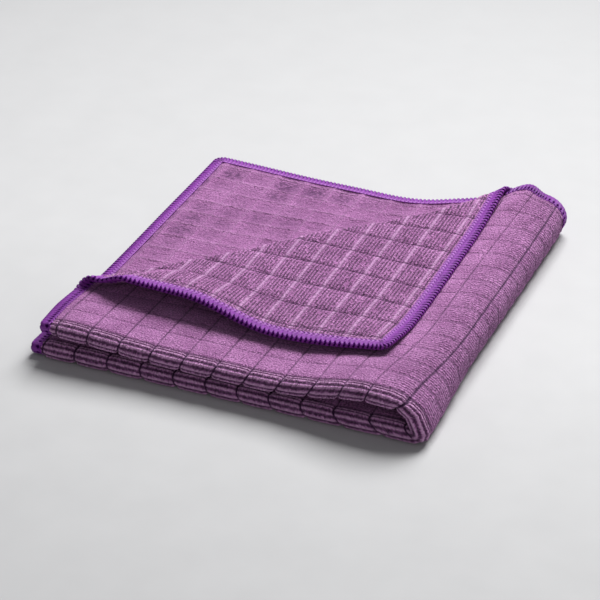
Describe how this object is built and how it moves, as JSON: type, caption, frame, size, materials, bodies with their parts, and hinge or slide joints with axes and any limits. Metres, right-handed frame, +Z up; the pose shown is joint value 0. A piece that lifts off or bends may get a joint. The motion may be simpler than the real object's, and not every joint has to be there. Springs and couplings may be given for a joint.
{
  "type": "quick dry towel",
  "caption": "Square microfibre travel towel with a grid knit and overlocked rim, folded in quarters with one top corner turned over.",
  "frame": {"origin": "centre of the towel's footprint, on the face it lies on", "axes": "+X to the right along the front fold, +Y to the back, +Z up through the plies"},
  "size_m": [0.2, 0.2, 0.02],
  "materials": {
    "cloth": "soft napped grid knit",
    "looper_thread": "satin overlock thread",
    "needle_thread": "matt stitched thread"
  },
  "bodies": {
    "base": {"base_needle_thread": "needle_thread", "bottom_panel": "cloth", "bottom_panel_edging": "looper_thread", "front_fold_lower": "cloth", "front_fold_lower_edging": "looper_thread", "right_fold_corner": "cloth", "right_fold_inner": "cloth", "right_fold_inner_edging": "looper_thread", "right_fold_needle_thread": "needle_thread", "right_fold_outer": "cloth", "right_fold_outer_edging": "looper_thread", "second_panel": "cloth", "second_panel_edging": "looper_thread"},
    "top_half": {"corner_fold": "cloth", "corner_fold_edging_back": "looper_thread", "corner_fold_edging_left": "looper_thread", "corner_fold_needle_thread": "needle_thread", "front_fold_upper": "cloth", "front_fold_upper_edging": "looper_thread", "third_panel": "cloth", "third_panel_edging": "looper_thread", "top_half_needle_thread": "needle_thread", "top_panel": "cloth", "top_panel_edging_back": "looper_thread", "top_panel_edging_left": "looper_thread"},
    "turned_corner": {"turned_corner": "cloth", "turned_corner_edging": "looper_thread", "turned_corner_needle_thread": "needle_thread"}
  },
  "joints": [
    {"name": "right_fold_open", "type": "hinge", "parent": "base", "child": "top_half", "pos_m": [0.09, 0, 0.01], "axis": [0, 1, 0], "range_deg": [0, 179.8], "deforming": ["right_fold_corner", "right_fold_inner", "right_fold_inner_edging", "right_fold_needle_thread", "right_fold_outer", "right_fold_outer_edging"]},
    {"name": "corner_open", "type": "hinge", "parent": "top_half", "child": "turned_corner", "pos_m": [-0.02, 0.02, 0.0163], "axis": [-0.7071, -0.7071, 0], "range_deg": [0, 179.8], "deforming": ["corner_fold", "corner_fold_edging_back", "corner_fold_edging_left", "corner_fold_needle_thread"]}
  ]
}
